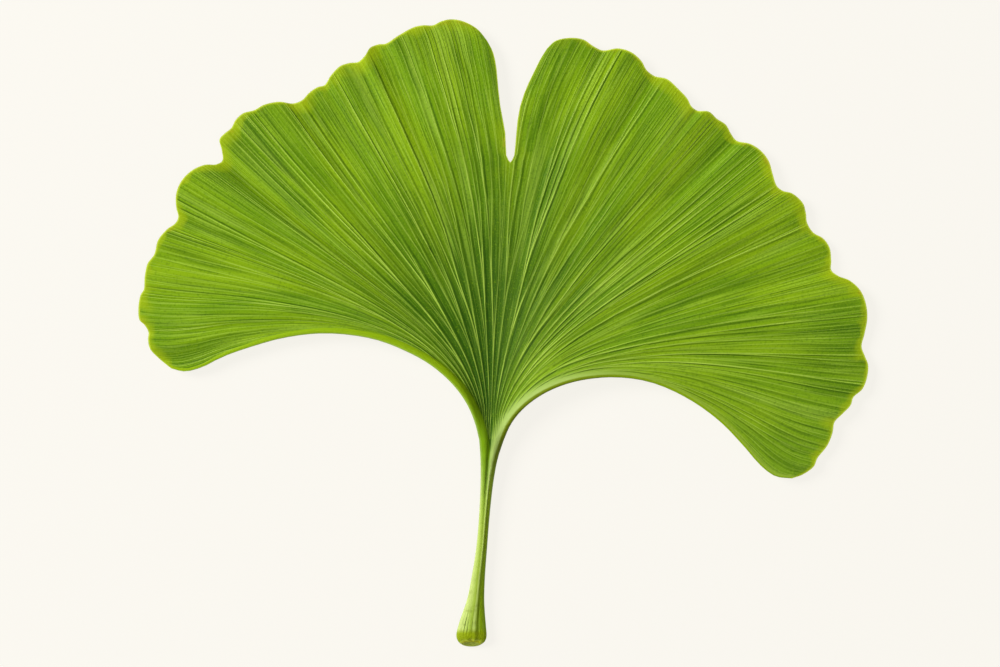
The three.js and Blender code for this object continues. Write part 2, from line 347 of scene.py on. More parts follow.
    def half_thickness(self, from_lower: Array, from_far: Array, along: Array) -> tuple[Array, Array]:
        """Half the blade's thickness: thin at its edges, with the swollen rim along the lower margin.

        Args:
            from_lower: The distance from the lower margin.
            from_far: The distance from the far margin or the notch.
            along: The share along.

        Returns:
            Half the thickness, and how far the middle of it rises, so that the face above stays flat.
        """
        edge = np.minimum(from_lower, from_far) / self.edge_taper
        full = self.blade_thickness / 2
        blade = full * np.sqrt(np.clip(edge, 0, 1))
        near, far = self.rim_swell
        swell = near + (far - near) * np.sqrt(np.clip(along, 0, 1))
        x = 2 * self.rim_across(from_lower, along) - 1
        rim = swell * np.sqrt(np.clip(1 - x * x, 0, 1)) * (1 - smoothstep(0.9, 1, along))
        return blade + rim, (full - blade) * self.edge_lift


@dataclass
class VeinTree:
    """The veins of one lobe: a few leave the neck, and each forks again and again on its way out.

    Attributes:
        seed: The seed of the tree.
        primaries: How many veins leave the neck.
        fork_ranges: For each round of forks, from the far margin inward, where along the blade they lie.
    """

    seed: int
    primaries: int = 11
    fork_ranges: Rows = ((0.62, 0.95), (0.35, 0.8), (0.2, 0.5), (0.11, 0.3))
    opening: float = 0.26
    closed_share: float = 0.12
    least_step: float = 0.05

    def __post_init__(self) -> None:
        """Draws where the veins lie, where they fork and how strong each one is."""
        draw = np.random.default_rng(self.seed)
        self.forks = len(self.fork_ranges)
        twigs = 2**self.forks
        bundles = np.repeat(draw.uniform(0.75, 1.3, self.primaries), twigs)
        shares = draw.uniform(0.8, 1.2, self.primaries * twigs) * bundles
        edges = np.concatenate([[0], np.cumsum(shares)]) / shares.sum()
        self.centres = [(edges[: -1 : 2**k] + edges[2**k :: 2**k]) / 2 for k in range(self.forks + 1)]
        self.opens: list[Array] = [np.zeros(0)] * (self.forks + 1)
        self.strengths: list[Array] = [np.zeros(0)] * (self.forks + 1)
        self.strengths[self.forks] = draw.uniform(0.45, 1, self.primaries)
        earliest = np.zeros(self.primaries)
        for k in range(self.forks, 0, -1):
            low, high = self.fork_ranges[k - 1]
            first = np.clip(earliest, low, high - self.least_step / 2)
            self.opens[k] = draw.uniform(first, high)
            earliest = np.repeat(self.opens[k] + self.least_step, 2)
            count = len(self.opens[k])
            keeps = draw.integers(0, 2, count)
            loses = draw.uniform(0.15, 0.75, count)
            pair = np.stack([np.where(keeps == 0, 0.97, loses), np.where(keeps == 1, 0.97, loses)], 1)
            self.strengths[k - 1] = (self.strengths[k][:, None] * pair).ravel()

    def crests(self, along: float, level: int) -> tuple[Array, Array]:
        """The veins that a row of the blade crosses.

        Args:
            along: Where the row lies.
            level: How many rounds of forks, counted from the far margin, are still closed there.

        Returns:
            The veins' shares inward, and their strengths.
        """
        count = self.primaries * 2 ** (self.forks - level)
        twig = np.arange(count)
        place = self.centres[self.forks][twig >> (self.forks - level)]
        strength = self.strengths[self.forks][twig >> (self.forks - level)]
        for k in range(self.forks, level, -1):
            parent = twig >> (k - level)
            child = twig >> (k - 1 - level)
            opened = smoothstep(0, self.opening, along - self.opens[k][parent])
            share = self.closed_share + (1 - self.closed_share) * opened
            place = place + share * (self.centres[k - 1][child] - self.centres[k][parent])
            strength = strength + opened * (self.strengths[k - 1][child] - strength)
        return place, strength


@dataclass
class Stalk:
    """The stalk, from its flared cut end to the mouth where it opens into the blade.

    Attributes:
        stations: y, left edge, right edge, half height, and the groove's depth as a share of that.
        heights: The height of its middle above the table, by y.
        grooves: Short grooves in the flare: share across, half width, depth, and the y they run between.
    """

    stations: Rows = (
        (-22.35, -2.86, -0.6, 0.52, 0.0),
        (-22.25, -3.04, -0.38, 0.62, 0.0),
        (-22.0, -3.24, -0.16, 0.72, 0.0),
        (-21.6, -3.37, -0.05, 0.78, 0.0),
        (-20.6, -3.2, -0.1, 0.8, 0.0),
        (-19.2, -2.75, -0.22, 0.74, 0.0),
        (-17.6, -2.2, -0.3, 0.68, 0.0),
        (-15.0, -1.68, -0.22, 0.64, 0.02),
        (-12.0, -1.2, 0.0, 0.6, 0.06),
        (-8.0, -0.85, 0.32, 0.6, 0.14),
        (-4.0, -0.7, 0.8, 0.64, 0.34),
        (-2.0, -0.72, 1.2, 0.68, 0.44),
        (0, -0.85, 1.85, 0.72, 0.5),
    )
    heights: Rows = ((-22.35, 0.8), (-12, 0.85), (-5, 1.05), (0, 1.35))
    grooves: Rows = (
        (-0.5, 0.04, 0.1, -21.5, -18.4),
        (-0.3, 0.035, 0.09, -21.6, -19.2),
        (-0.68, 0.05, 0.03, -21.4, -18.2),
        (0.02, 0.05, 0.05, -21.5, -18.6),
        (0.42, 0.06, 0.04, -21.5, -17.0),
    )
    groove_width: float = 0.26
    groove_place: float = -0.08
    shoulder: float = 0.22
    end_slant: float = 0.42
    end_waves: float = 0.07
    middle: float = 0.51

    def length(self) -> float:
        """The stalk's length."""
        return -self.stations[0][0]

    def column(self, index: int, y: Array) -> Array:
        """One of the columns of the stations, at these y."""
        return through(tuple((row[0], row[index]) for row in self.stations), y)

    def from_side(self, across: Array, along: Array) -> Array:
        """How far places lie from the nearer side of the stalk."""
        y = along * self.length()
        return (1 - np.abs(across)) * (self.column(2, y) - self.column(1, y)) / 2

    def section(self, across: Array, y: Array, side: Side) -> Array:
        """Half the stalk's height across its section, with a groove and a steep right flank above."""
        half = self.column(3, y) * np.sqrt(np.clip(1 - across**2, 0, 1))
        if side is Side.LOWER:
            return half
        off_groove = (across - self.groove_place) / self.groove_width
        half = half * (1 - self.column(4, y) * np.exp(-(off_groove**2)))
        half = half * (1 - self.shoulder * smoothstep(0.2, 0.5, across) * (1 - smoothstep(-9, -1, y)))
        for centre, width, depth, low, high in self.grooves:
            reach = smoothstep(low, low + 0.5, y) * (1 - smoothstep(high - 1.2, high, y))
            half = half - depth * reach * np.exp(-(((across - centre) / width) ** 2))
        return half

    def points(self, across: Array, along: Array, side: Side) -> tuple[Array, Array]:
        """The places of the stalk's skin.

        Args:
            across: The places' shares across.
            along: Their shares along, from -1 to 0.
            side: Which face they lie on.

        Returns:
            The places in the plan, and their heights.
        """
        y = along * self.length()
        left, right = self.column(1, y), self.column(2, y)
        centre = left + (right - left) * self.middle
        x = centre + np.abs(across) * (np.where(across < 0, left, right) - centre)
        at_end = (1 - smoothstep(-self.length(), -20.6, y)) * np.sqrt(np.clip(1 - across**2, 0, 1))
        waves = self.end_waves * np.cos(3 * math.pi * across) if side is Side.UPPER else 0
        slant = side.value * self.end_slant + waves
        z = through(self.heights, y) + side.value * self.section(across, y, side)
        return x + 1j * (y + slant * at_end), z


LEFT_LOBE = Lobe(
    sign=-1,
    lower=(
        (-0.85, 0), (-1.36, 2), (-2.28, 4.1), (-3.8, 6.15), (-6.15, 8.2), (-9.1, 9.82), (-12.5, 11.05),
        (-17.5, 11.65), (-22, 11.2), (-26, 10.12), (-29, 9.05), (-31.2, 7.95), (-33.1, 7.48), (-34.6, 7.8),
    ),
    scallops=(
        ((-34.6, 7.8), (-35.9, 8.85), (-36.9, 9.95), (-37.12, 10.9)),
        ((-37.1, 11.8), (-37.5, 12.55), (-38.05, 13.1), (-38.2, 14.4), (-37.98, 15.8)),
        ((-37.6, 16.5), (-37.5, 17.9), (-37.2, 19.3)),
        ((-36.5, 20.3), (-36.05, 21.9), (-35.1, 23.05), (-34.15, 23.75)),
        ((-33.85, 24.4), (-34.05, 25.5), (-34.05, 26.9), (-33.5, 28.3), (-32.3, 29.5), (-30.9, 30.12),
         (-29.7, 30.18)),
        ((-29.05, 30.6), (-29.12, 31.8), (-29.35, 32.9), (-28.9, 33.45)),
        ((-28.05, 34.15), (-27.5, 35.05), (-26.7, 35.75)),
        ((-25.5, 36.1), (-24.4, 36.7), (-22.8, 37.03)),
        ((-21.3, 36.87), (-20.3, 37.2), (-19.5, 38.05), (-18.6, 38.65)),
        ((-17.8, 38.9), (-17.1, 39.95), (-16.1, 40.95), (-15.1, 41.3)),
        ((-14.1, 41.42), (-13.35, 42.05), (-12.8, 42.95), (-11.9, 43.35)),
        ((-11.1, 43.42), (-9.6, 44.35), (-8, 45.2), (-7, 45.4)),
        ((-5.9, 45.42), (-5, 45.85), (-3.8, 46.08), (-2.4, 45.78), (-1, 44.95), (0, 43.75)),
    ),
    notch=(
        (2.55, 30.4), (2.2, 30.85), (2.08, 32), (2, 33.7), (1.7, 35.3), (1.4, 37), (1.2, 39), (1, 41),
        (0.65, 42.5), (0, 43.75),
    ),
    leave=((0, 102), (0.15, 98), (0.4, 96), (1, 89)),
    arrive=(
        (0, 200), (0.06, 189), (0.12, 181), (0.22, 167), (0.35, 149), (0.5, 132), (0.7, 117),
        (0.85, 105), (1, 93),
    ),
    leave_for=((0, 0.465), (0.1, 0.32), (0.25, 0.27), (0.5, 0.275), (1, 0.29)),
    arrive_for=((0, 0.33), (0.1, 0.56), (0.25, 0.565), (0.5, 0.56), (1, 0.4)),
    folds=(
        Fold(0.13, 0.06, 0.12, 0.4),
        Fold(0.22, 0.04, -0.18, 0.4),
        Fold(0.37, 0.06, 0.25, 0.35),
        Fold(0.455, 0.025, -0.55, 0.35),
        Fold(0.54, 0.05, 0.22, 0.4),
        Fold(0.65, 0.04, -0.15, 0.5),
        Fold(0.765, 0.018, 0.35, 0.5),
        Fold(0.795, 0.014, -0.28, 0.6),
        Fold(0.9, 0.03, 0.12, 0.6),
    ),
    seed=11,
)
RIGHT_LOBE = Lobe(
    sign=1,
    lower=(
        (1.85, 0), (2.55, 1.6), (3.52, 2.95), (4.95, 4.25), (7.1, 5.52), (10, 6.47), (14, 6.85), (18, 6.27),
        (22, 4.5), (25.5, 2), (28.2, -0.8), (30, -2.85), (31.6, -4), (33.4, -4.25),
    ),
    scallops=(
        ((33.4, -4.25), (34.6, -3.83), (35.8, -2.95)),
        ((36.25, -2), (37.3, -0.65), (37.85, 0.7)),
        ((38.1, 1.95), (39, 2.9), (39.85, 3.8)),
        ((40.15, 4.65), (41.1, 5.5), (41.6, 6.6), (41.78, 8.2), (41.45, 9.15)),
        ((41.1, 10.2), (41.4, 11.6), (41.68, 13.2), (41.5, 14.9), (40.9, 16.35), (39.7, 17.47),
         (38.5, 17.95)),
        ((37.75, 18.6), (37.75, 19.6), (37.6, 21), (36.9, 22.05)),
        ((35.8, 22.72), (35.1, 23.8), (34.95, 24.9), (34.6, 25.95), (33.4, 27)),
        ((32.4, 27.28), (31.75, 27.8), (31.3, 29.1), (30.9, 30.5), (30.1, 31.6), (28.9, 32.42)),
        ((27.4, 32.82), (26.8, 33.55), (26.2, 34.55), (25.2, 35.2), (24.3, 35.95)),
        ((23.1, 36.05), (22.4, 36.5), (21.95, 37.35), (20.9, 38.5), (19.7, 39.55)),
        ((18.4, 39.87), (17.5, 40.5), (16.9, 41.5), (15.8, 42.45), (14.4, 42.87)),
        ((12.7, 42.67), (11.7, 43.1), (10.6, 43.83), (9.1, 44.03), (7.5, 43.7), (6.6, 42.9)),
    ),
    notch=(
        (2.55, 30.4), (2.9, 30.85), (3.05, 31.8), (3.2, 33.5), (3.4, 35.4), (3.75, 37), (4.4, 38.75),
        (5.1, 40.2), (5.9, 41.8), (6.6, 42.9),
    ),
    leave=((0, 64), (0.15, 72), (0.4, 78), (1, 88)),
    arrive=(
        (0, -45), (0.06, -30), (0.12, -19), (0.18, -10), (0.24, -1), (0.31, 8), (0.38, 16), (0.46, 25),
        (0.56, 37), (0.68, 51), (0.85, 68), (1, 80),
    ),
    leave_for=((0, 0.5), (0.1, 0.32), (0.25, 0.255), (0.5, 0.24), (1, 0.3)),
    arrive_for=((0, 0.325), (0.1, 0.56), (0.25, 0.575), (0.5, 0.56), (1, 0.4)),
    folds=(
        Fold(0.14, 0.06, 0.12, 0.4),
        Fold(0.23, 0.05, -0.16, 0.4),
        Fold(0.31, 0.05, 0.18, 0.35),
        Fold(0.43, 0.04, -0.25, 0.35),
        Fold(0.54, 0.04, 0.2, 0.35),
        Fold(0.66, 0.03, -0.35, 0.4),
        Fold(0.73, 0.03, 0.2, 0.45),
        Fold(0.8, 0.025, -0.15, 0.45),
        Fold(0.86, 0.02, 0.15, 0.5),
        Fold(0.93, 0.02, -0.12, 0.6),
    ),
    seed=12,
)


class Part(Enum):
    """What is picked in edit mode."""

    VERTEX = "VERT"
    EDGE = "EDGE"
    FACE = "FACE"


def deselect_all() -> None:
    """Leaves nothing selected, so that the next operator works on new things only."""
    if bpy.context.object and bpy.context.object.mode == "EDIT":
        bpy.ops.object.mode_set(mode="OBJECT")
    bpy.ops.object.select_all(action="DESELECT")


def choose(*objects: bpy.types.Object) -> None:
    """Selects these objects only, and makes the first one active."""
    deselect_all()
    for thing in objects:
        thing.select_set(True)
    bpy.context.view_layer.objects.active = objects[0]


def edit(thing: bpy.types.Object, part: Part, picked: Array | None = None) -> None:
    """Opens an object in edit mode with nothing selected but the picked edges or faces.

    Args:
        thing: The object.
        part: What is picked in it.
        picked: For each of its edges or faces, whether it is picked.
    """
    choose(thing)
    bpy.ops.object.mode_set(mode="EDIT")
    bpy.ops.mesh.select_mode(type=part.value)
    bpy.ops.mesh.select_all(action="DESELECT")
    if picked is not None:
        bpy.ops.object.mode_set(mode="OBJECT")
        items = thing.data.edges if part is Part.EDGE else thing.data.polygons
        items.foreach_set("select", picked)
        bpy.ops.object.mode_set(mode="EDIT")


def end_edit() -> None:
    """Goes back to object mode."""
    bpy.ops.object.mode_set(mode="OBJECT")


def read_items(items: bpy.types.bpy_prop_collection, name: str, width: int = 1, kind: type = int) -> Array:
    """One property of all of a mesh's vertices, edges, faces or corners.

    Args:
        items: The vertices, edges, faces or corners.
        name: The property's name.
        width: How many numbers it has.
        kind: Their type.

    Returns:
        The numbers, one row an item where there are several each.
    """
    values = np.empty(len(items) * width, kind)
    items.foreach_get(name, values)
    return values.reshape(-1, width) if width > 1 else values


def coordinates(mesh: bpy.types.Mesh) -> Array:
    """The places of a mesh's vertices, one row each."""
    return read_items(mesh.vertices, "co", 3, np.float32).astype(float)


def move_vertices(mesh: bpy.types.Mesh, places: Array) -> None:
    """Puts a mesh's vertices at these places, one row each."""
    mesh.vertices.foreach_set("co", places.astype(np.float32).ravel())
    mesh.update()


def write_values(mesh: bpy.types.Mesh, name: str, values: Array) -> None:
    """Keeps one value a vertex on a mesh, for its material or for a later step."""
    layer = mesh.attributes.new(name, "FLOAT", "POINT")
    layer.data.foreach_set("value", values.astype(np.float32))


def read_values(mesh: bpy.types.Mesh, name: str) -> Array:
    """The values that write_values kept."""
    return read_items(mesh.attributes[name].data, "value", 1, np.float32).astype(float)


@dataclass(frozen=True)
class Band:
    """A stretch of the leaf between two rows, with one column count all over.

    Attributes:
        level: How many rounds of forks are still closed in it (see VeinTree).
        rows: Where its rows lie along the leaf.
    """

    level: int
    rows: tuple[float, ...]


@dataclass
class Leaf:
    """The whole leaf: blade and stalk as one skin."""

    lobes: tuple[Lobe, Lobe] = (LEFT_LOBE, RIGHT_LOBE)
    trees: tuple[VeinTree, VeinTree] = field(default_factory=lambda: (VeinTree(seed=3), VeinTree(seed=8)))
    stalk: Stalk = field(default_factory=Stalk)
    stalk_rows: int = 44
    neck_rows: tuple[float, ...] = (0, 0.01, 0.025, 0.04, 0.055, 0.07, 0.085, 0.1)
    bands: tuple[Band, ...] = (
        Band(3, (0.115, 0.13, 0.145, 0.16, 0.175, 0.19)),
        Band(2, (0.21, 0.23, 0.25, 0.27, 0.29, 0.31, 0.33)),
        Band(1, (0.355, 0.38, 0.41, 0.44, 0.47, 0.505, 0.54, 0.575)),
        Band(0, (0.6, 0.63, 0.66, NOTCH_START, 0.696, 0.71, 0.735, 0.765, 0.8, 0.835, 0.87, 0.9, 0.925,
                 0.947, 0.965, 0.978, 0.988, 0.994, 0.9975, 0.9993, 1)),
    )
    edge_columns: tuple[float, ...] = (0, 0.05, 0.2, 0.45, 0.75)
    middle_columns: tuple[float, ...] = (0.3, 0.65, 0.9, 1)
    ripples: tuple[Ripple, ...] = (
        Ripple(30, 3, 0.1, 21),
        Ripple(84, 5, 0.06, 22),
        Ripple(200, 7, 0.035, 23),
    )
    neck_end: float = 0.11
    far_from_margin: float = 20.0
    far_from_vein: float = 1.0
    lower_face_shift: float = 3.0
    vein_relief: float = 0.05
    vein_width: float = 0.14
    furrow_depth: float = 0.03
    end_rings: Rows = ((0.95, -0.03), (0.88, 0.0), (0.8, 0.08), (0.65, 0.06), (0.4, 0.02))
    merged_within: float = 0.002
    corner_points: int = 3
    smooth_angle: float = 55.0

    def columns(self, along: float, level: int, lobe: int) -> tuple[Array, Array, Array, Array]:
        """The columns of one row in one lobe, four to a vein, with a few close ones at each side.

        Args:
            along: Where the row lies.
            level: The band's level.
            lobe: 0 for the left lobe and 1 for the right.

        Returns:
            The columns' shares inward, how far each is from its vein, that vein's strength, and how far into
            the fine groove on the right of a vein each one lies, where the painted shadow line is drawn.
        """
        crests, strengths = self.trees[lobe].crests(along, level)
        gap = np.diff(crests)[:, None]
        inner = crests[:-1, None] + gap * [0, 0.25, 0.5, 0.75]
        off = gap * [0, 0.25, 0.5, 0.25]
        near, far = strengths[:-1], strengths[1:]
        strong = np.stack([near, near, (near + far) / 2, far], 1)
        edge = np.array(self.edge_columns)
        rest = np.array(self.middle_columns)
        first, left = crests[0], 1 - crests[-1]
        places = np.concatenate([edge * first, inner.ravel(), [crests[-1]], crests[-1] + rest * left])
        offs = np.concatenate([(1 - edge) * first, off.ravel(), [0], rest * left])
        strong = np.concatenate([
            np.full(len(edge), strengths[0]), strong.ravel(), np.full(len(rest) + 1, strengths[-1])
        ])
        # The fine groove with its painted shadow line lies on each vein's right, the side away from the key
        # lamp.
        beside = [0, 1, 0.2, 0] if self.lobes[lobe].sign < 0 else [0, 0, 0.2, 1]
        furrow_shadow = np.concatenate([np.zeros(len(edge)), np.tile(beside, len(gap)), np.zeros(len(rest) + 1)])
        return places, offs, strong, furrow_shadow

    def row(self, along: float, level: int) -> Array:
        """One row over both lobes, from the left lower margin to the right.

        Args:
            along: Where the row lies.
            level: The band's level.

        Returns:
            For each column: the share across, the share it is off its vein, the vein's strength, and the
            share of the fine groove with its painted shadow line.
        """
        halves = []
        for index, lobe in enumerate(self.lobes):
            inward, off, strong, furrow_shadow = self.columns(max(along, self.neck_rows[-1]), level, index)
            if along < self.neck_rows[-1]:
                turn = np.linspace(0, math.pi / 2, len(inward))
                even = 1 - np.cos(turn)
                even[-1] = 1
                opened = smoothstep(0, 1, np.array(along / self.neck_rows[-1]))
                inward = even + (inward - even) * opened
            half = np.stack([lobe.sign * (1 - inward), off, strong, furrow_shadow], 1)
            halves.append(half if lobe.sign < 0 else half[::-1])
        return np.concatenate([halves[0], halves[1][1:]])

    def flat_band(self, name: str, level: int, rows: tuple[float, ...]) -> bpy.types.Object:
        """Lays one band of the skin out flat, as a grid whose x is the share across and y the one along."""
        table = np.stack([self.row(along, level) for along in rows])
        deselect_all()
        bpy.ops.mesh.primitive_grid_add(
            x_subdivisions=table.shape[1] - 1, y_subdivisions=len(rows) - 1, size=1, location=(0, 0, 0)
        )
        band = bpy.context.object
        band.name = name
        places = coordinates(band.data)
        column = np.rint((places[:, 0] + 0.5) * (table.shape[1] - 1)).astype(int)
        line = np.rint((places[:, 1] + 0.5) * (len(rows) - 1)).astype(int)
        cells = table[line, column]
        flat = np.stack([cells[:, 0], np.array(rows)[line], np.zeros(len(line))], 1)
        move_vertices(band.data, flat)
        write_values(band.data, "off_vein", cells[:, 1])
        write_values(band.data, "strength", cells[:, 2])
        write_values(band.data, "furrow_shadow", cells[:, 3])
        return band

    def bridge(self, skin: bpy.types.Object, low: float, high: float) -> None:
        """Joins two neighbouring bands of the flat skin by faces between their facing rows."""
        y = coordinates(skin.data)[:, 1]
        on_row = (np.abs(y - low) < SAME_ROW) | (np.abs(y - high) < SAME_ROW)
        ends = read_items(skin.data.edges, "vertices", 2)
        level = np.abs(y[ends[:, 0]] - y[ends[:, 1]]) < SAME_ROW
        edit(skin, Part.EDGE, on_row[ends].all(1) & level)
        bpy.ops.mesh.bridge_edge_loops()
        end_edit()

    def in_notch(self, across: Array, along: Array) -> Array:
        """Whether places lie on the middle line, at or beyond the bottom of the notch."""
        return (np.abs(across) < AT_EDGE) & (along > NOTCH_START - SAME_ROW)

    def on_margin(self, across: Array, along: Array) -> Array:
        """Whether places of the blade lie on its lower or far margin, or on the notch."""
        outermost = (1 - np.abs(across) < AT_EDGE) | (along > 1 - AT_EDGE)
        return outermost | self.in_notch(across, along)

    def cut_notch(self, skin: bpy.types.Object) -> None:
        """Splits the flat skin along the middle line beyond the bottom of the notch."""
        places = coordinates(skin.data)
        on_cut = self.in_notch(places[:, 0], places[:, 1])
        edit(skin, Part.EDGE, on_cut[read_items(skin.data.edges, "vertices", 2)].all(1))
        bpy.ops.mesh.edge_split(type="EDGE")
        end_edit()

    def flat_skin(self) -> bpy.types.Object:
        """The skin of one face laid out flat: all bands joined, with the notch cut open."""
        stalk_rows = -np.cos(np.linspace(0, math.pi / 2, self.stalk_rows + 1))[:-1]
        first = Band(self.trees[0].forks, tuple(stalk_rows) + self.neck_rows)
        bands = (first,) + self.bands
        pieces = [self.flat_band(f"band_{i}", band.level, band.rows) for i, band in enumerate(bands)]
        choose(*pieces)
        bpy.ops.object.join()
        skin = bpy.context.object
        for before, after in zip(bands, bands[1:]):
            self.bridge(skin, before.rows[-1], after.rows[0])
        self.cut_notch(skin)
        return skin

    def lobe_of_vertices(self, mesh: bpy.types.Mesh) -> Array:
        """-1 or 1 for each vertex of the flat skin, by the faces around it."""
        places = coordinates(mesh)
        corners = read_items(mesh.loops, "vertex_index")
        lobes = np.sign(read_items(mesh.polygons, "center", 3, float)[:, 0])
        pull = np.zeros(len(places))
        np.add.at(pull, corners, np.repeat(lobes, read_items(mesh.polygons, "loop_total")))
        return np.where(np.abs(places[:, 0]) > AT_EDGE, np.sign(places[:, 0]), np.where(pull < 0, -1, 1))

    def draw_out(self, skin: bpy.types.Object, side: Side) -> None:
        """Draws the flat skin out into one face of the leaf, and keeps what its material reads.

        Args:
            skin: The flat skin.
            side: The face it becomes.
        """
        mesh = skin.data
        flat = coordinates(mesh)
        across, along = flat[:, 0], flat[:, 1]
        off_vein = read_values(mesh, "off_vein")
        strength = read_values(mesh, "strength")
        furrow_shadow = read_values(mesh, "furrow_shadow")
        signs = self.lobe_of_vertices(mesh)
        place = np.zeros(len(flat), complex)
        z, from_lower, rim = np.zeros((3, len(flat)))
        from_far = np.full(len(flat), self.far_from_margin)
        from_vein = np.full(len(flat), self.far_from_vein)
        on_stalk = along < 0
        place[on_stalk], z[on_stalk] = self.stalk.points(across[on_stalk], along[on_stalk], side)
        from_side = self.stalk.from_side(across[on_stalk], along[on_stalk])
        rim[on_stalk] = from_side / self.lobes[0].rim_width[0]
        for lobe, tree in zip(self.lobes, self.trees):
            mine = (signs == lobe.sign) & ~on_stalk
            inward, up = 1 - np.abs(across[mine]), along[mine]
            place[mine] = lobe.plan(inward, up)
            from_lower[mine], from_far[mine] = lobe.edge_distances(inward, up)
            sheet, lift = lobe.half_thickness(from_lower[mine], from_far[mine], up)
            rim[mine] = lobe.rim_across(from_lower[mine], up)
            from_vein[mine] = off_vein[mine] * lobe.width(inward, up)
            open_edge = self.on_margin(across[mine], up)
            mouth = self.stalk.section(across[mine], np.zeros(mine.sum()), side)
            share = smoothstep(0, self.neck_end, up)
            half = mouth + (sheet - mouth) * share
            half[open_edge] = 0
            grown = smoothstep(0.9, 1.3, rim[mine]) * smoothstep(0, 0.9, from_far[mine])
            relief = self.vein_relief * (0.3 + 0.7 * strength[mine])
            relief = relief * (1 - smoothstep(0, self.vein_width, from_vein[mine]))
            relief = (relief - self.furrow_depth * furrow_shadow[mine] * strength[mine]) * grown
            relief[open_edge] = 0
            waves = sum(ripple.height(across[mine], up) for ripple in self.ripples)
            waves = waves * smoothstep(0, 1.5, from_lower[mine]) * smoothstep(0, 0.06, 1 - inward)
            z[mine] = lobe.height(inward, up) + waves + lift + side.value * (half + relief * share)
        for name, values in (("from_vein", from_vein), ("from_far", from_far), ("rim_across", rim),
                             ("across", across), ("along", along)):
            write_values(mesh, name, values)
        write_values(mesh, "below", np.full(len(along), 1.0 if side is Side.LOWER else 0.0))
        self.map_veins(mesh, side, across, along)
        move_vertices(mesh, np.stack([place.real, place.imag, z], 1))

    def map_veins(self, mesh: bpy.types.Mesh, side: Side, across: Array, along: Array) -> None:
        """Writes the UV map of the shares across and along, with the lower face beside the upper."""
        corners = read_items(mesh.loops, "vertex_index")
        layer = mesh.uv_layers.new(name="veins")
        shift = 0 if side is Side.UPPER else self.lower_face_shift
        layer.data.foreach_set("uv", np.stack([across[corners], along[corners] + shift], 1).ravel())

    def close_edges(self, skin: bpy.types.Object) -> None:
        """Welds the two faces together along the leaf's margins."""
        edit(skin, Part.VERTEX)
        bpy.ops.mesh.select_non_manifold()
        bpy.ops.mesh.remove_doubles(threshold=self.merged_within)
        end_edit()

    def part_corners(self, skin: bpy.types.Object) -> None:
        """Gives the faces at the lobes' corners a middle point, so that those above and below stay apart."""
        mesh = skin.data
        on_margin = self.on_margin(read_values(mesh, "across"), read_values(mesh, "along"))
        corners = on_margin[read_items(mesh.loops, "vertex_index")].astype(int)
        on_margin_each = np.add.reduceat(corners, read_items(mesh.polygons, "loop_start"))
        edit(skin, Part.FACE, on_margin_each >= self.corner_points)
        bpy.ops.mesh.poke()
        end_edit()

    def close_end(self, skin: bpy.types.Object) -> None:
        """Fills the stalk's cut end with a rounded lip around a shallow dish, and marks it as cut."""
        outside = len(skin.data.vertices)
        edit(skin, Part.EDGE)
        bpy.ops.mesh.select_non_manifold()
        for scale, inset in self.end_rings:
            bpy.ops.mesh.extrude_region()
            end_edit()
            places = coordinates(skin.data)
            ring = read_items(skin.data.vertices, "select", 1, bool)
            centre = places[ring].mean(0)
            places[ring] = centre + (places[ring] - centre) * scale + [0, inset, 0]
            move_vertices(skin.data, places)
            bpy.ops.object.mode_set(mode="EDIT")
        bpy.ops.mesh.edge_face_add()
        bpy.ops.mesh.select_mode(type="FACE")
        bpy.ops.mesh.poke()
        bpy.ops.mesh.select_all(action="SELECT")
        bpy.ops.mesh.normals_make_consistent(inside=False)
        end_edit()
        write_values(skin.data, "cut", (np.arange(len(skin.data.vertices)) >= outside).astype(float))

    def put_in_frame(self, skin: bpy.types.Object) -> None:
        """Turns millimetres of the plan into metres of the frame, with the leaf on the table."""
        low, high = (np.array(corner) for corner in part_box(CAD_NODE))
        places = coordinates(skin.data)
        middle = (places.min(0) + places.max(0)) / 2
        places = (places - [middle[0], middle[1], places[:, 2].min()]) * MM
        places += [(low[0] + high[0]) / 2, (low[1] + high[1]) / 2, low[2]]
        move_vertices(skin.data, places)

    def build(self) -> bpy.types.Object:
        """Models the leaf.

        Returns:
            The finished piece.
        """
        upper = self.flat_skin()
        choose(upper)
        bpy.ops.object.duplicate()
        lower = bpy.context.object
        edit(lower, Part.FACE)
        bpy.ops.mesh.select_all(action="SELECT")
        bpy.ops.mesh.flip_normals()
        end_edit()
        self.draw_out(upper, Side.UPPER)
        self.draw_out(lower, Side.LOWER)
        choose(upper, lower)
        bpy.ops.object.join()
        leaf = bpy.context.object
        leaf.name = "leaf"
        self.close_edges(leaf)
        self.part_corners(leaf)
        self.close_end(leaf)
        self.put_in_frame(leaf)
        choose(leaf)
        bpy.ops.object.shade_smooth_by_angle(angle=math.radians(self.smooth_angle))
        return leaf


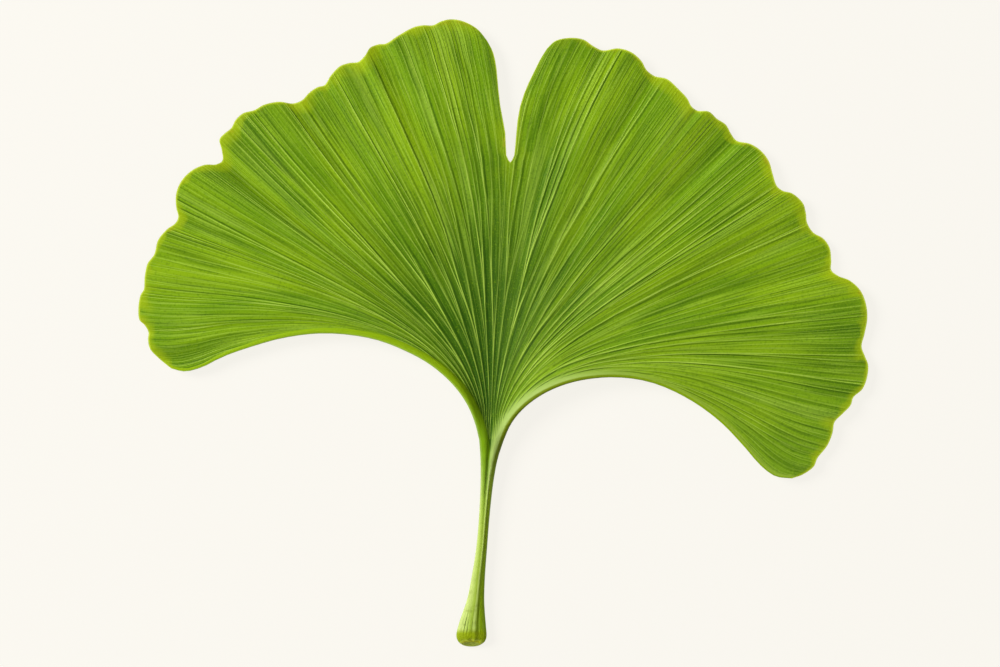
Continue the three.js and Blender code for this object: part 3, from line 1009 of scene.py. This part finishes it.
class Recipe:
    """Short names for wiring up a material's nodes."""

    MIX_INPUTS = (0, 6, 7)
    MIX_OUTPUT = 2
    NOISE_ROUGHNESS = 0.55

    def __init__(self, name: str) -> None:
        """Starts a material with its surface shader.

        Args:
            name: The material's name.
        """
        self.material = bpy.data.materials.new(name)
        self.material.use_nodes = True
        self.tree = self.material.node_tree
        self.tree.nodes.clear()
        self.surface = self.tree.nodes.new("ShaderNodeBsdfPrincipled")
        output = self.tree.nodes.new("ShaderNodeOutputMaterial")
        self.tree.links.new(self.surface.outputs["BSDF"], output.inputs["Surface"])

    def feed(self, socket: Socket, value: object) -> None:
        """Links a socket to another one, or sets its own value."""
        if isinstance(value, Socket):
            self.tree.links.new(value, socket)
        elif isinstance(value, tuple):
            socket.default_value = (*value, 1)
        else:
            socket.default_value = value

    def value(self, name: str) -> Socket:
        """A value that the mesh keeps for each vertex."""
        node = self.tree.nodes.new("ShaderNodeAttribute")
        node.attribute_name = name
        return node.outputs["Fac"]

    def step(self, operation: str, a: object, b: object = 0.0) -> Socket:
        """One step of arithmetic."""
        node = self.tree.nodes.new("ShaderNodeMath")
        node.operation = operation
        self.feed(node.inputs[0], a)
        self.feed(node.inputs[1], b)
        return node.outputs["Value"]

    def product(self, first: object, *factors: object) -> Socket:
        """A value multiplied by others, one after the other."""
        for factor in factors:
            first = self.step("MULTIPLY", first, factor)
        return first

    def fade(self, value: object, start: object, end: object, low: float = 0.0, high: float = 1.0) -> Socket:
        """A soft change from low to high as the value goes from start to end."""
        node = self.tree.nodes.new("ShaderNodeMapRange")
        node.interpolation_type = "SMOOTHSTEP"
        for name, number in (("Value", value), ("From Min", start), ("From Max", end), ("To Min", low),
                             ("To Max", high)):
            self.feed(node.inputs[name], number)
        return node.outputs["Result"]

    def streaks(self, across: float, along: float, detail: float, shift: float = 0.0) -> Socket:
        """Noise drawn out along the veins, by how often it changes across and along the leaf."""
        uv = self.tree.nodes.new("ShaderNodeUVMap")
        uv.uv_map = "veins"
        mapping = self.tree.nodes.new("ShaderNodeMapping")
        mapping.inputs["Scale"].default_value = (across, along, 1)
        mapping.inputs["Location"].default_value = (shift, shift, shift)
        self.tree.links.new(uv.outputs["UV"], mapping.inputs["Vector"])
        return self.noise(mapping.outputs["Vector"], 1.0, detail)

    def grain(self, size: float, detail: float = 2.0) -> Socket:
        """Even noise of this size in metres."""
        place = self.tree.nodes.new("ShaderNodeTexCoord")
        return self.noise(place.outputs["Object"], 1 / size, detail)

    def noise(self, vector: Socket, scale: float, detail: float) -> Socket:
        """Noise over these coordinates."""
        node = self.tree.nodes.new("ShaderNodeTexNoise")
        node.inputs["Scale"].default_value = scale
        node.inputs["Detail"].default_value = detail
        node.inputs["Roughness"].default_value = self.NOISE_ROUGHNESS
        self.tree.links.new(vector, node.inputs["Vector"])
        return node.outputs["Fac"]

    def tint(self, base: object, colour: object, share: object) -> Socket:
        """A colour laid over another by a share."""
        node = self.tree.nodes.new("ShaderNodeMix")
        node.data_type = "RGBA"
        factor, first, second = (node.inputs[i] for i in self.MIX_INPUTS)
        self.feed(factor, share)
        self.feed(first, base)
        self.feed(second, colour)
        return node.outputs[self.MIX_OUTPUT]


@dataclass(frozen=True)
class LeafSkin:
    """The waxy green skin of blade and stalk, with pale veins, a bright margin and a dull underside, and
    with painted shade and painted highlights on the blade, the rims and the stalk.
    """

    cool: Colour = (0.135, 0.275, 0.003)
    warm: Colour = (0.225, 0.38, 0.004)
    # Dark green for painted shade in the trough, between fine pleats and in the stalk's groove, and for the
    # blade's dark mottle.
    shade_and_mottle: Colour = (0.028, 0.095, 0.001)
    # Near black green for the painted shadow line beside each vein.
    furrow_shadow: Colour = (0.016, 0.06, 0.0005)
    # Pale green for painted light and sheen on the blade.
    light: Colour = (0.3, 0.47, 0.045)
    vein: Colour = (0.41, 0.59, 0.075)
    margin: Colour = (0.34, 0.45, 0.004)
    # Pale yellow for the painted highlight along the far margin's edge; also drawn as a pale line round the
    # cut end.
    edge: Colour = (0.55, 0.66, 0.06)
    autumn: Colour = (0.36, 0.27, 0.01)
    rim: Colour = (0.24, 0.39, 0.003)
    # Pale green for the painted highlight on the lit side of the lower margin's rims.
    soft: Colour = (0.36, 0.5, 0.12)
    # Whitish green for painted highlights on the stalk, and for its pale streaks.
    pale: Colour = (0.49, 0.6, 0.18)
    # Olive for painted shade on the right rim's outer side, and for the stalk's dull mottle.
    olive: Colour = (0.15, 0.21, 0.002)
    stalk: Colour = (0.29, 0.44, 0.015)
    neck: Colour = (0.16, 0.3, 0.002)
    # Darker green for painted shade on the stalk's right flank.
    flank: Colour = (0.24, 0.38, 0.001)
    bulb: Colour = (0.27, 0.36, 0.001)
    cut: Colour = (0.52, 0.56, 0.01)
    under: Colour = (0.3, 0.43, 0.1)
    roughness: float = 0.45
    roughness_spread: float = 0.16
    specular: float = 0.08
    bump_strength: float = 0.8
    bump_depth: float = 0.00005
    under_share: float = 0.55
    middle_blend: float = 0.01
    # Layers of painted shade and sheen streaks: how often they change across and along, and where along the
    # blade each fades in or out.
    shade_and_sheen_streaks: Rows = ((30, 2.5, 0.3, 0.5), (95, 5, 0.75, 0.4), (210, 8, 0.12, 0.45))

    def make(self) -> bpy.types.Material:
        """Builds the material."""
        r = Recipe("leaf_skin")
        rim_across = r.value("rim_across")
        blade_from = r.fade(rim_across, self.by_side(r, 0.9, 0.6), self.by_side(r, 1.1, 1.7))
        colour = r.tint(self.rim_colour(r), self.blade_colour(r), blade_from)
        colour = self.with_veins(r, colour, r.fade(rim_across, 0.9, 1.1))
        colour = self.with_margin(r, colour)
        colour = r.tint(colour, self.stalk_colour(r), r.fade(r.value("along"), -0.02, -0.3))
        colour = r.tint(colour, self.cut, r.value("cut"))
        colour = r.tint(colour, self.under, r.product(r.value("below"), self.under_share))
        r.feed(r.surface.inputs["Base Color"], colour)
        uneven = r.product(r.grain(0.0006), self.roughness_spread)
        rough = r.step("ADD", uneven, self.roughness - self.roughness_spread / 2)
        r.feed(r.surface.inputs["Roughness"], rough)
        r.surface.inputs["Specular IOR Level"].default_value = self.specular
        bump = r.tree.nodes.new("ShaderNodeBump")
        bump.inputs["Strength"].default_value = self.bump_strength
        bump.inputs["Distance"].default_value = self.bump_depth
        r.feed(bump.inputs["Height"], r.step("ADD", r.grain(0.00025), r.streaks(420, 14, 2, 9)))
        r.feed(r.surface.inputs["Normal"], bump.outputs["Normal"])
        return r.material

    def by_side(self, r: Recipe, left: float = 0.0, right: float = 1.0) -> Socket:
        """One value on the left lobe and another on the right."""
        return r.fade(r.value("across"), -self.middle_blend, self.middle_blend, left, right)

    def blade_colour(self, r: Recipe) -> Socket:
        """The green between the veins, streaked along them, with painted shade over the lower blade,
        strongest on the left of the trough, a painted lit side near the right lower margin, and painted
        shade and sheen in fine streaks.
        """
        across, along = r.value("across"), r.value("along")
        colour = r.tint(self.cool, self.warm, r.fade(r.streaks(11, 2.5, 3), 0.36, 0.64))
        colour = r.tint(colour, self.warm, r.fade(r.grain(0.0035), 0.5, 0.75, 0, 0.25))
        # Painted shade, partly a darker green near the neck: strongest on the left wall of the trough, which
        # faces away from the key lamp, and fading towards the far margin and the right.
        trough = r.product(r.fade(across, 0.8, -0.12), r.fade(across, -0.95, -0.4, 0.3, 1.0))
        colour = r.tint(colour, self.shade_and_mottle, r.product(trough, r.fade(along, 0.9, 0.3)))
        # Painted light: paler green over the right lobe near its lower margin, where the trough's wall faces
        # the key lamp.
        bright = r.product(r.fade(across, 0.45, 1.0), r.fade(along, 0.65, 0.25, 0.3, 1.0))
        colour = r.tint(colour, self.light, r.product(bright, 0.4))
        # Painted shade and sheen: thin dark streaks stand for the shade between fine pleats, and thin pale
        # ones for a sheen along them.
        for often, length, start, end in self.shade_and_sheen_streaks:
            pleat_shadow = r.fade(r.streaks(often, length, 1, often), 0.5, 0.7)
            colour = r.tint(colour, self.shade_and_mottle, r.product(pleat_shadow, r.fade(along, start, end), 0.45))
            gleam = r.fade(r.streaks(often * 1.3, length, 1, often + 50), 0.55, 0.72)
            colour = r.tint(colour, self.light, r.product(gleam, r.fade(along, start, end), 0.38))
        colour = r.tint(colour, self.shade_and_mottle, r.fade(r.grain(0.00026, 1), 0.5, 0.75, 0, 0.3))
        return r.tint(colour, self.warm, r.fade(r.grain(0.00018, 1), 0.55, 0.75, 0, 0.35))

    def with_veins(self, r: Recipe, colour: Socket, on_blade: Socket) -> Socket:
        """Draws the pale veins, and a painted shadow line in the fine groove on the right of each of them.

        Args:
            r: The material's recipe.
            colour: The green between the veins.
            on_blade: 0 on the rim and 1 inside it.

        Returns:
            The colour with the veins.
        """
        strength = r.value("strength")
        wavering = r.fade(r.streaks(40, 5, 2, 3), 0.3, 0.6, 0.4, 1.0)
        # Painted shadow: a near black line in the fine groove on the right of each strong vein, broken up
        # along its length.
        furrow_shadow = r.product(r.fade(r.value("furrow_shadow"), 0.2, 1.0), r.fade(strength, 0.1, 0.8, 0.3, 0.95))
        furrow_shadow = r.product(furrow_shadow, r.fade(r.streaks(60, 4, 2, 7), 0.35, 0.62, 0.2, 1.0), on_blade)
        colour = r.tint(colour, self.furrow_shadow, furrow_shadow)
        width = r.product(r.fade(strength, 0.1, 1.0, 0.04, 0.062), r.fade(r.value("along"), 0, 0.35, 0.5, 1))
        line = r.product(r.fade(r.value("from_vein"), width, 0.01), r.fade(strength, 0.1, 0.9, 0.36, 1.0))
        return r.tint(colour, self.vein, r.product(line, wavering, on_blade))

    def with_margin(self, r: Recipe, colour: Socket) -> Socket:
        """Brightens the thin far margin, with a few spots that have begun to turn, and paints a highlight
        along its very edge.

        Args:
            r: The material's recipe.
            colour: The colour of the blade.

        Returns:
            The colour with the margin.
        """
        from_far = r.value("from_far")
        reach = r.fade(r.grain(0.0035), 0.38, 0.66, 0.4, 2.2)
        off_notch = r.fade(r.step("ABSOLUTE", r.value("across")), 0.0, 0.12, 0.15, 0.7)
        colour = r.tint(colour, self.margin, r.product(r.fade(from_far, reach, 0.0), off_notch))
        turned = r.product(r.fade(r.grain(0.0018), 0.55, 0.7), r.fade(from_far, 0.7, 0.1), 0.5)
        colour = r.tint(colour, self.autumn, turned)
        # Painted highlight: a pale band along the last fifth of a millimetre of the far margin.
        return r.tint(colour, self.edge, r.product(r.fade(from_far, 0.22, 0.05), 0.7))

    def rim_colour(self, r: Recipe) -> Socket:
        """The rim of the lower margin: yellow-green, with a painted highlight along the left rim's outer
        edge, and on the right a painted highlight over painted shade on its outer edge.
        """
        rim_across, along = r.value("rim_across"), r.value("along")
        # Painted shade on the outer side of the right rim and painted highlight on its inner side, strongest
        # near the neck.
        right = r.tint(self.olive, self.soft, r.fade(rim_across, 0.32, 0.55))
        right = r.tint(self.rim, right, r.fade(along, 0.6, 0.2, 0.25, 1.0))
        left = r.tint(self.neck, self.rim, r.fade(along, 0.0, 0.2))
        # Painted highlight along the outer edge of the left rim, which faces the key lamp.
        left = r.tint(left, self.soft, r.fade(rim_across, 0.25, 0.1, 0, 0.35))
        return r.tint(left, right, self.by_side(r))

    def stalk_colour(self, r: Recipe) -> Socket:
        """The stalk's green: painted highlights on its left and along a ridge, painted shade in its groove
        and on its right flank, pale streaks and a darker bulb.
        """
        across, along = r.value("across"), r.value("along")
        colour = r.tint(self.neck, self.stalk, r.fade(along, -0.1, -0.5))
        # Painted highlight down the stalk's left side.
        pale = r.product(r.fade(across, 0.2, -0.9), r.fade(along, -0.2, -0.8, 0.2, 0.9))
        colour = r.tint(colour, self.pale, pale)
        # Painted highlight on the stalk's left edge just below the mouth.
        side = r.product(r.fade(across, -0.6, -0.95), r.fade(along, -0.02, -0.2, 0.0, 0.7))
        colour = r.tint(colour, self.pale, side)
        # Painted shade in the groove near the mouth.
        groove = r.fade(r.step("ABSOLUTE", r.step("ADD", across, 0.07)), 0.3, 0.1)
        colour = r.tint(colour, self.shade_and_mottle, r.product(groove, r.fade(along, -0.35, -0.06), 0.9))
        # Painted highlight along the ridge right of the groove.
        from_ridge = r.step("SUBTRACT", across, r.fade(along, 0.0, -0.35, 0.46, 0.12))
        ridge = r.fade(r.step("ABSOLUTE", from_ridge), r.fade(along, 0.0, -0.3, 0.3, 0.2), 0.06)
        colour = r.tint(colour, self.pale, r.product(ridge, r.fade(along, -0.4, 0.0, 0.55, 1.0)))
        # Painted shade on the right flank beyond the ridge.
        colour = r.tint(colour, self.flank, r.fade(from_ridge, 0.16, 0.3, 0.0, 0.95))
        colour = r.tint(colour, self.pale, r.fade(r.streaks(9, 1.2, 2, 4), 0.5, 0.75, 0, 0.35))
        colour = r.tint(colour, self.bulb, r.fade(along, -0.92, -0.955, 0, 0.97))
        dull = r.product(r.fade(r.grain(0.0007), 0.5, 0.7, 0, 0.35), r.fade(along, -0.5, -0.9))
        colour = r.tint(colour, self.olive, dull)
        # A pale line round the rim of the cut end, in the colour of the margin's painted highlight.
        return r.tint(colour, self.edge, r.fade(along, -0.993, -0.999, 0, 0.7))


@dataclass(frozen=True)
class Table:
    """The plain pale table, a little off white."""

    colour: Colour = (0.08, 0.078, 0.073)
    glow: float = 0.87
    size: float = 3.0

    def build(self) -> bpy.types.Object:
        """Lays the table top under the leaf."""
        deselect_all()
        bpy.ops.mesh.primitive_plane_add(size=self.size, location=(0, 0, 0))
        top = bpy.context.object
        top.name = "table"
        r = Recipe("table_paper")
        r.surface.inputs["Base Color"].default_value = (*self.colour, 1)
        r.surface.inputs["Roughness"].default_value = 0.9
        r.surface.inputs["Specular IOR Level"].default_value = 0.0
        r.surface.inputs["Emission Color"].default_value = (*self.colour, 1)
        r.surface.inputs["Emission Strength"].default_value = self.glow / self.colour[0]
        top.data.materials.append(r.material)
        return top


@dataclass(frozen=True)
class Lamp:
    """One soft square lamp of the studio.

    Attributes:
        name: Its name.
        azimuth: Where it stands, in degrees from +X towards +Y.
        elevation: How high it stands above the table, in degrees.
        distance: How far it is from the leaf, in metres.
        size: The side of its square, in metres.
        power: Its power in watts.
        colour: Its colour.
    """

    name: str
    azimuth: float
    elevation: float
    distance: float
    size: float
    power: float
    colour: Colour

    def hang(self) -> None:
        """Hangs the lamp and turns it to the leaf."""
        turn, lift = math.radians(self.azimuth), math.radians(self.elevation)
        place = (
            self.distance * math.cos(lift) * math.cos(turn),
            self.distance * math.cos(lift) * math.sin(turn),
            self.distance * math.sin(lift),
        )
        tilt = (0, math.pi / 2 - lift, turn)
        bpy.ops.object.light_add(type="AREA", location=place, rotation=tilt)
        lamp = bpy.context.object
        lamp.name = self.name
        lamp.data.shape = "SQUARE"
        lamp.data.size = self.size
        lamp.data.energy = self.power
        lamp.data.color = self.colour


@dataclass(frozen=True)
class Studio:
    """The lamps, the sky and the camera that looks straight down."""

    lamps: tuple[Lamp, ...] = (
        Lamp("key", 155, 36, 0.8, 0.35, 9.2, (1.0, 0.99, 0.96)),
        Lamp("fill", -30, 60, 0.9, 0.8, 1.2, (1.0, 0.99, 0.97)),
    )
    sky: Colour = (1.0, 0.99, 0.96)
    sky_strength: float = 0.22
    lens: float = 85.0
    sensor: float = 36.0
    view_width: float = 0.10944
    aim: tuple[float, float] = (-0.00037, -0.00001)

    def build(self) -> None:
        """Hangs the lamps, lights the sky and sets the camera."""
        for lamp in self.lamps:
            deselect_all()
            lamp.hang()
        world = bpy.data.worlds.new("sky")
        world.use_nodes = True
        back = world.node_tree.nodes["Background"]
        back.inputs["Color"].default_value = (*self.sky, 1)
        back.inputs["Strength"].default_value = self.sky_strength
        bpy.context.scene.world = world
        height = self.view_width * self.lens / self.sensor + 0.0015
        bpy.ops.object.camera_add(location=(*self.aim, height), rotation=(0, 0, 0))
        camera = bpy.context.object
        camera.name = "camera"
        camera.data.lens = self.lens
        camera.data.sensor_width = self.sensor
        camera.data.clip_start = 0.01
        bpy.context.scene.camera = camera
        bpy.context.scene.view_settings.view_transform = "Standard"


def main() -> None:
    """Builds the studio and the leaf, hangs the leaf under the root body and hides the imported part."""
    logging.basicConfig(level=logging.INFO, format="%(message)s")
    table = Table().build()
    Studio().build()
    leaf = Leaf().build()
    leaf.data.materials.append(LeafSkin().make())
    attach(leaf, "root")
    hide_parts(CAD_NODE)
    LOG.info("%s: %d faces", leaf.name, len(leaf.data.polygons))


if __name__ == "__main__":
    main()
